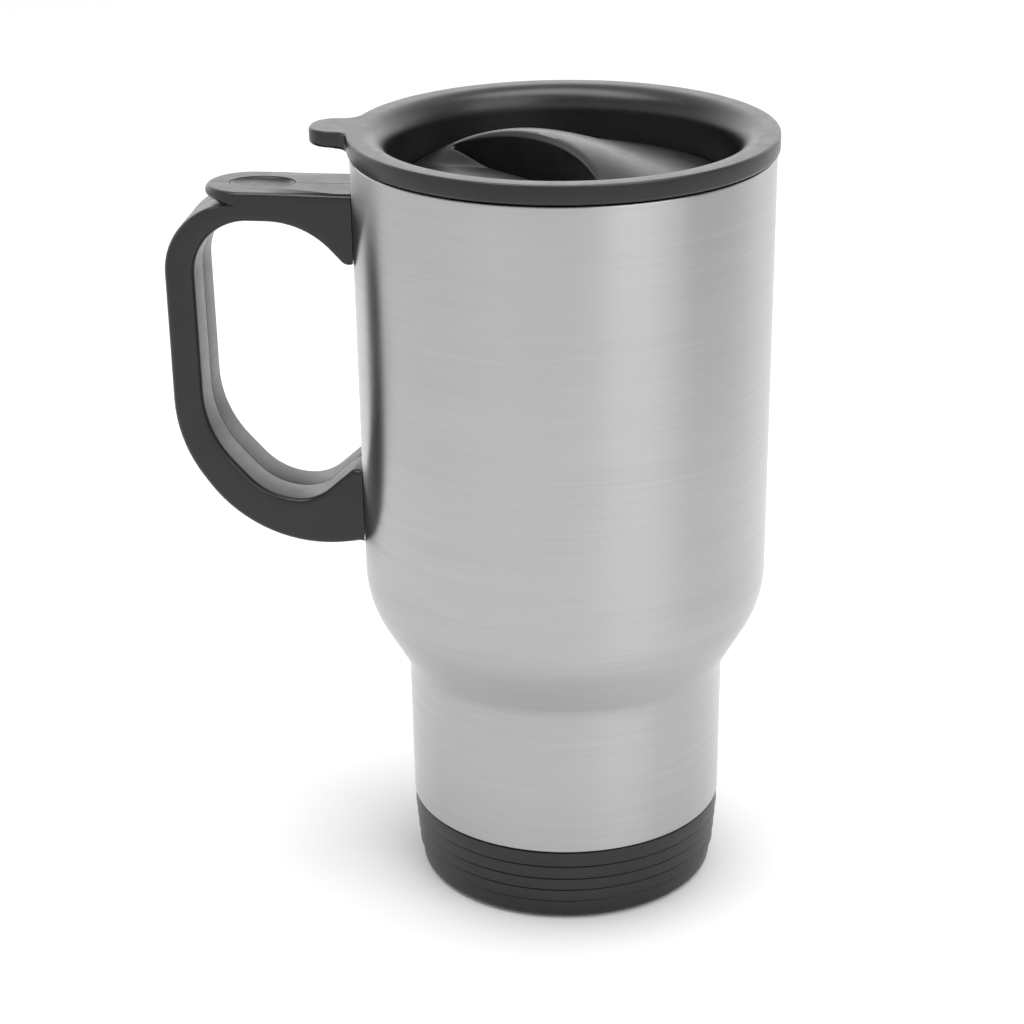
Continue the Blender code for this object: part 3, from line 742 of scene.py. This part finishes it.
def rim_outline():
    """The rim and its thumb tab in plan, anticlockwise, the tab towards +X."""
    reach = RIM_RADIUS + TAB_FILLET
    offset = TAB_HALF_WIDTH + TAB_FILLET
    root = math.degrees(math.asin(offset / reach))
    fillet_x = reach * math.cos(math.radians(root))
    half = arc(TAB_REACH - TAB_CORNER, TAB_HALF_WIDTH - TAB_CORNER, TAB_CORNER, 0, 90, 12)
    half += arc(fillet_x, offset, TAB_FILLET, 270, 180 + root, 10)
    half += arc(0, 0, RIM_RADIUS, root, 180, 110)[1:]
    other = [(x, -y) for x, y in half[-2::-1]]
    return half + other


def make_lid(material):
    """Rim, tab, bowl, deck and plug as one skin, lofted from the hub hole round to the hub hole."""
    outline = rim_outline()
    normals = outward_normals(outline)

    def circle(radius, height):
        loop = []
        for x, y in outline:
            size = math.hypot(x, y)
            loop.append((-x / size * radius, y / size * radius, height))
        return loop

    def edge(inset, height, lift=0.0):
        """The outline drawn in, its tab's points raised by a lift."""
        loop = []
        for (x, y), (normal_x, normal_y) in zip(outline, normals):
            share = min(1.0, max(0.0, (math.hypot(x, y) - RIM_RADIUS) / 2.0))
            loop.append((-(x - normal_x * inset), y - normal_y * inset, height + lift * share))
        return loop

    loops = [circle(HUB_HOLE, DECK_TOP), circle(12, DECK_TOP), circle(SKIRT_BORE - 1.2, DECK_TOP)]
    loops += [circle(r, z) for r, z in arc(SKIRT_BORE - 1.2, DECK_TOP + 1.2, 1.2, -90, 0, 5)[1:]]
    roll = arc(BOWL_RADIUS + RIM_ROLL, LID_TOP - RIM_ROLL - 0.05, RIM_ROLL, 180, 90, 14)
    loops += [circle(r, z) for r, z in roll]
    crown = RIM_RADIUS - 1.6
    loops += [circle(crown, LID_TOP), edge(0.9, LID_TOP)]
    chamfer = 0.45
    turns = [math.radians(angle) for angle in (0, 18, 36, 54, 72, 90)]
    loops += [edge(chamfer * (1 - math.sin(turn)), LID_TOP - chamfer * (1 - math.cos(turn)))
              for turn in turns]
    low_round = 0.9
    lift = RIM_HIGH - TAB_THICK
    loops += [edge(low_round * (1 - math.cos(turn)), RIM_LOW + low_round * (1 - math.sin(turn)), lift)
              for turn in turns]
    loops += [circle(RIM_RADIUS - 1.2, RIM_LOW), circle(PLUG_RADIUS + 0.3, RIM_LOW),
              circle(PLUG_RADIUS, RIM_LOW - 0.3), circle(PLUG_RADIUS, GROOVE_TOP),
              circle(GROOVE_RADIUS, GROOVE_TOP), circle(GROOVE_RADIUS, GROOVE_LOW),
              circle(PLUG_RADIUS, GROOVE_LOW), circle(PLUG_RADIUS, PLUG_LOW + 1.0)]
    loops += [circle(r, z) for r, z in arc(PLUG_RADIUS - 1.0, PLUG_LOW + 1.0, 1.0, 0, -90, 5)[1:]]
    loops += [circle(SKIRT_BORE + 0.2, PLUG_LOW), circle(SKIRT_BORE, PLUG_LOW + 0.2),
              circle(SKIRT_BORE, DECK_LOW), circle(12, DECK_LOW), circle(HUB_HOLE, DECK_LOW)]
    lid = loft("lid_moulding", loops, 35, ring=True)
    cut(lid, port_cutters(DECK_LOW - 2, DECK_TOP + 1))
    return dress(lid, material, "lid", "black_plastic", "lid_body")


def turn_point(x, y, angle=CLOSURE_TURN):
    return x * math.cos(angle) - y * math.sin(angle), x * math.sin(angle) + y * math.cos(angle)


def port_cutters(low, high):
    """The sip slot with rounded ends and the vent hole, cut between two heights."""
    middle = 270 + math.degrees(CLOSURE_TURN)
    centre = (SIP_INNER + SIP_OUTER) / 2
    half = (SIP_OUTER - SIP_INNER) / 2
    end = SIP_HALF_ANGLE - math.degrees(half / centre) * 0.5
    outline = arc(0, 0, SIP_OUTER, middle - end, middle + end, 16)
    for angle, start in ((middle + end, 0), (middle - end, 180)):
        x, y = arc(0, 0, centre, angle, angle, 1)[0]
        outline += arc(x, y, half, angle + start, angle + start + 180, 10)
        if start == 0:
            outline += arc(0, 0, SIP_INNER, middle + end, middle - end, 16)
    outline = [point for index, point in enumerate(outline)
               if math.dist(point, outline[index - 1]) > 0.02]
    vent_x, vent_y = turn_point(*VENT_PLACE)
    vent = arc(vent_x, vent_y, VENT_RADIUS, 0, 350, 35)
    return [prism("cut_sip", outline, low, high), prism("cut_vent", vent, low, high)]


def make_gasket(material):
    """Two soft fins on a band in the plug's groove."""
    low = side("lid_gasket", 0, 2)
    high = side("lid_gasket", 1, 2)
    fin = side("lid_gasket", 1, 0)
    root = GROOVE_RADIUS + GAP
    corners = [(root, high, 0), (PLUG_RADIUS, high, 0.15)]
    for height in (high - 0.7, low + 0.7):
        corners += [(PLUG_RADIUS, height + 0.5, 0.1), (fin, height + 0.05, 0.12), (fin, height - 0.22, 0.1),
                    (PLUG_RADIUS, height - 0.45, 0.1)]
    corners += [(PLUG_RADIUS, low, 0.15), (root, low, 0)]
    gasket = turned("silicone_gasket", rounded(corners, 30.0), 144, 40)
    return dress(gasket, material, "lid", "grey_silicone", "lid_gasket")


# ---------------------------------------------------------------- closure

def dome_height(x, y):
    """Height of the dial's top in its own frame, whose scoop opens towards -Y.

    A raised hood stands behind the scoop and a low apron lies in front of it.
    """
    share = min(1.0, math.hypot(x, y) / DIAL_RADIUS)
    behind = max(0.0, math.hypot(x, y + SCOOP_CENTRE) - SCOOP_RADIUS)
    hood = DOME_HIGH * (1 - share ** 3)
    hood += HOOD_HIGH * (1 - share ** 2) * math.exp(-(behind / HOOD_FADE) ** 2)
    apron = APRON_HIGH * (1 - share ** 2)
    tips = (x / SCOOP_HALF_LENGTH) ** 2
    blend = max(0.0, min(1.0, (y + SCOOP_CHORD) / APRON_BLEND + TIP_BLEND * tips))
    return DIAL_EDGE + apron + (hood - apron) * blend * blend * (3 - 2 * blend)


def scoop_outline():
    """The scoop's mouth, anticlockwise: a long round back wall, narrow tips and a straight front."""
    reach = math.degrees(math.asin(SCOOP_HALF_LENGTH / SCOOP_RADIUS))
    wall = arc(0, -SCOOP_CENTRE, SCOOP_RADIUS, 90 - reach, 90 + reach, 70)
    corners = [(*wall[0], SCOOP_TIP)] + [(*point, 0) for point in wall[3:-3]] + [(*wall[-1], SCOOP_TIP)]
    return divided(rounded(corners, 20.0), 0.7)


def ray_to_rim(x, y):
    """Where the line from the scoop's middle through a point meets the dial's rim."""
    start = Vector(SCOOP_MIDDLE)
    along = (Vector((x, y)) - start).normalized()
    across = start.dot(along)
    return start + along * (-across + math.sqrt(across ** 2 - start.length_squared + DIAL_RADIUS ** 2))


def make_dial(material):
    """The domed closure: rings run from the scoop's floor out over its lip to the rim and underneath."""
    mouth = scoop_outline()
    middle = Vector(SCOOP_MIDDLE)
    half_depth = (SCOOP_CHORD - SCOOP_BACK) / 2

    def drawn_in(inset, height):
        """A smaller mouth; its height is worked out from the lip, point by point."""
        across = 1 - inset / half_depth
        along = 1 - inset * (4.4 if inset > 0 else 1.5) / SCOOP_HALF_LENGTH
        loop = []
        for x, y in mouth:
            place = (x * along, middle.y + (y - middle.y) * across)
            loop.append((*place, height(dome_height(*place))))
        return loop

    floor_round = 0.5
    wall_in = 0.05
    loops = []
    floor_edge = drawn_in(wall_in + floor_round, lambda lip: SCOOP_FLOOR)
    for share in (0.03, 0.3, 0.6, 0.85):
        loops.append([(x * share, middle.y + (y - middle.y) * share, z) for x, y, z in floor_edge])
    loops.append(floor_edge)
    for angle in (30, 60, 90):
        turn = math.radians(angle)
        inset = wall_in + floor_round * (1 - math.sin(turn))
        loops.append(drawn_in(inset, lambda lip, rise=floor_round * (1 - math.cos(turn)): SCOOP_FLOOR + rise))
    for angle in (90, 72, 54, 36, 18, 0):
        turn = math.radians(angle)
        loops.append(drawn_in(-SCOOP_LIP * (1 - math.sin(turn)),
                              lambda lip, drop=SCOOP_LIP * (1 - math.cos(turn)): lip - drop))
    lip_edge = [point[:2] for point in loops[-1]]
    rims = [ray_to_rim(x, y) for x, y in lip_edge]
    rings = 24
    for index in range(1, rings):
        share = index / rings
        loop = []
        for (x, y), rim in zip(lip_edge, rims):
            ring_x = x + (rim.x - x) * share
            ring_y = y + (rim.y - y) * share
            loop.append((ring_x, ring_y, dome_height(ring_x, ring_y)))
        loops.append(loop)

    def rim_loop(radius, height):
        return [(rim.x / DIAL_RADIUS * radius, rim.y / DIAL_RADIUS * radius, height) for rim in rims]

    for angle in (15, 40, 65, 90):
        turn = math.radians(angle)
        loops.append(rim_loop(DIAL_RADIUS - DIAL_ROUND * (1 - math.sin(turn)),
                              DIAL_EDGE - DIAL_ROUND * (1 - math.cos(turn))))
    loops += [rim_loop(DIAL_RADIUS, DIAL_LOW + 0.3), rim_loop(DIAL_RADIUS - 0.3, DIAL_LOW),
              rim_loop(BOSS_RADIUS, DIAL_LOW), rim_loop(BOSS_RADIUS, BOSS_LOW)]
    dial = loft("domed_dial", loops, 38)
    dial.data.transform(Matrix.Rotation(CLOSURE_TURN, 4, "Z"))
    cut(dial, port_cutters(DIAL_LOW - 1, LID_TOP + 3))
    return dress(dial, material, "closure", "black_plastic", "closure_dial")


# ---------------------------------------------------------------- finish

def dress(obj, material, body, slot, *nodes):
    """Give a piece its material, its body and the CAD nodes that it stands for. The slot argument is not
    used.
    """
    obj.data.materials.clear()
    obj.data.materials.append(material)
    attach(obj, body)
    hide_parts(*nodes)
    return obj


def recolour(node, material):
    """A carried-over CAD piece keeps its mesh and gets a better material."""
    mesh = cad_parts[node].data
    mesh.materials.clear()
    mesh.materials.append(material)


def make_floor():
    bpy.ops.mesh.primitive_plane_add(size=12.0, location=(0, 0, -0.0001))
    floor = bpy.context.object
    floor.name = "studio_floor"
    nodes = Nodes("pale_floor")
    paper = nodes.noise((60, 60, 60), 3.0, 0.5)
    nodes.set(Base_Color=nodes.colours(paper, (0.79, 0.79, 0.79), (0.80, 0.80, 0.80)), Roughness=0.9)
    floor.data.materials.append(nodes.material)


def add_light(name, place, target, size, power, size_y=None):
    light = bpy.data.lights.new(name, "AREA")
    light.shape = "RECTANGLE"
    light.size = size
    light.size_y = size_y or size
    light.energy = power
    obj = bpy.data.objects.new(name, light)
    obj.location = place
    obj.rotation_euler = (Vector(target) - Vector(place)).to_track_quat("-Z", "Y").to_euler()
    bpy.context.scene.collection.objects.link(obj)


def make_light():
    """A bright sweep behind, a soft key, a ceiling light and a dimmer side at the right."""
    world = bpy.data.worlds.new("studio")
    world.use_nodes = True
    tree = world.node_tree
    direction = tree.nodes.new("ShaderNodeTexCoord").outputs["Generated"]
    parts = tree.nodes.new("ShaderNodeSeparateXYZ")
    ramp = tree.nodes.new("ShaderNodeValToRGB")
    tree.links.new(direction, parts.inputs["Vector"])
    tree.links.new(parts.outputs["Z"], ramp.inputs["Fac"])
    levels = ((0.0, 1.0), (0.15, 1.1), (0.45, 1.0), (0.62, 0.5), (0.8, 0.5), (0.95, 0.7))
    stops = ramp.color_ramp.elements
    while len(stops) < len(levels):
        stops.new(0.5)
    for stop, (place, level) in zip(stops, levels):
        stop.position = place
        stop.color = (level, level, level, 1.0)

    def ease(output, start, end, low, high):
        node = tree.nodes.new("ShaderNodeMapRange")
        node.interpolation_type = "SMOOTHSTEP"
        for name, value in (("From Min", start), ("From Max", end), ("To Min", low), ("To Max", high)):
            node.inputs[name].default_value = value
        tree.links.new(output, node.inputs["Value"])
        return node.outputs["Result"]

    sideways = ease(parts.outputs["X"], 0.72, 0.97, 1.0, 0.4)
    behind = ease(parts.outputs["Y"], -0.1, 0.8, 1.1, 1.8)
    strength = tree.nodes.new("ShaderNodeMath")
    strength.operation = "MULTIPLY"
    tree.links.new(sideways, strength.inputs[0])
    tree.links.new(behind, strength.inputs[1])
    background = tree.nodes["Background"]
    tree.links.new(ramp.outputs["Color"], background.inputs["Color"])
    tree.links.new(strength.outputs["Value"], background.inputs["Strength"])
    bpy.context.scene.world = world
    add_light("key", (0.75, -0.55, 0.95), (0, 0, 0.08), 0.9, 5.5)
    add_light("ceiling", (-0.05, -0.02, 1.3), (0, 0, 0.1), 0.6, 12.5, 1.25)


def make_camera():
    camera = bpy.data.cameras.new("camera")
    camera.lens = CAMERA_LENS
    camera.sensor_width = 36.0
    camera.clip_start = 0.01
    camera.clip_end = 50.0
    obj = bpy.data.objects.new("camera", camera)
    bpy.context.scene.collection.objects.link(obj)
    place = Matrix.Translation((0, -CAMERA_OUT * MM, CAMERA_UP * MM))
    aim = (Matrix.Rotation(-CAMERA_YAW, 4, "Z") @ Matrix.Rotation(math.pi / 2 - CAMERA_PITCH, 4, "X")
           @ Matrix.Rotation(CAMERA_ROLL, 4, "Z"))
    obj.matrix_world = Matrix.Rotation(CAMERA_AZIMUTH, 4, "Z") @ place @ aim
    bpy.context.scene.camera = obj


bpy.context.scene.view_settings.view_transform = "Standard"

steel = brushed_steel("brushed_steel", (0.405, 0.405, 0.405), (0.435, 0.435, 0.433), 0.33)
drawn_steel = spun_steel("drawn_steel")
plastic = moulded_plastic("satin_black", (0.005, 0.005, 0.0052), (0.008, 0.008, 0.0082), 0.31)
base_plastic = moulded_plastic("base_black", (0.006, 0.006, 0.006), (0.010, 0.010, 0.010), 0.38)
rubber = soft_rubber("non_slip_rubber", (0.018, 0.018, 0.018), (0.035, 0.035, 0.035), 0.8)
silicone = soft_rubber("silicone", (0.10, 0.10, 0.10), (0.15, 0.15, 0.15), 0.5)
screw_steel = screw_metal("zinc_screw")
foam = beaded_foam("bead_foam")

make_shell(steel)
make_liner(drawn_steel)
make_base(base_plastic)
make_pad(rubber)
make_handle_half("handle_front", "handle_front_half", -1, plastic)
make_handle_half("handle_back", "handle_back_half", 1, plastic)
make_pad_half("handle_pad_front", "handle_front_half", -1, plastic)
make_pad_half("handle_pad_back", "handle_back_half", 1, plastic)
make_thumb_rest(plastic)
for screw_label, screw_place in SCREW_PLACES.items():
    make_screw(screw_label, screw_place, screw_steel)
make_lid(plastic)
make_gasket(silicone)
make_dial(plastic)
for carried, finish in (("shell_bottom", drawn_steel), ("upper_bracket", drawn_steel),
                        ("lower_bracket", drawn_steel), ("insulation_foam", foam), ("closure_seal", silicone),
                        ("pivot_washer", screw_steel), ("pivot_screw", screw_steel)):
    recolour(carried, finish)

make_floor()
make_light()
make_camera()
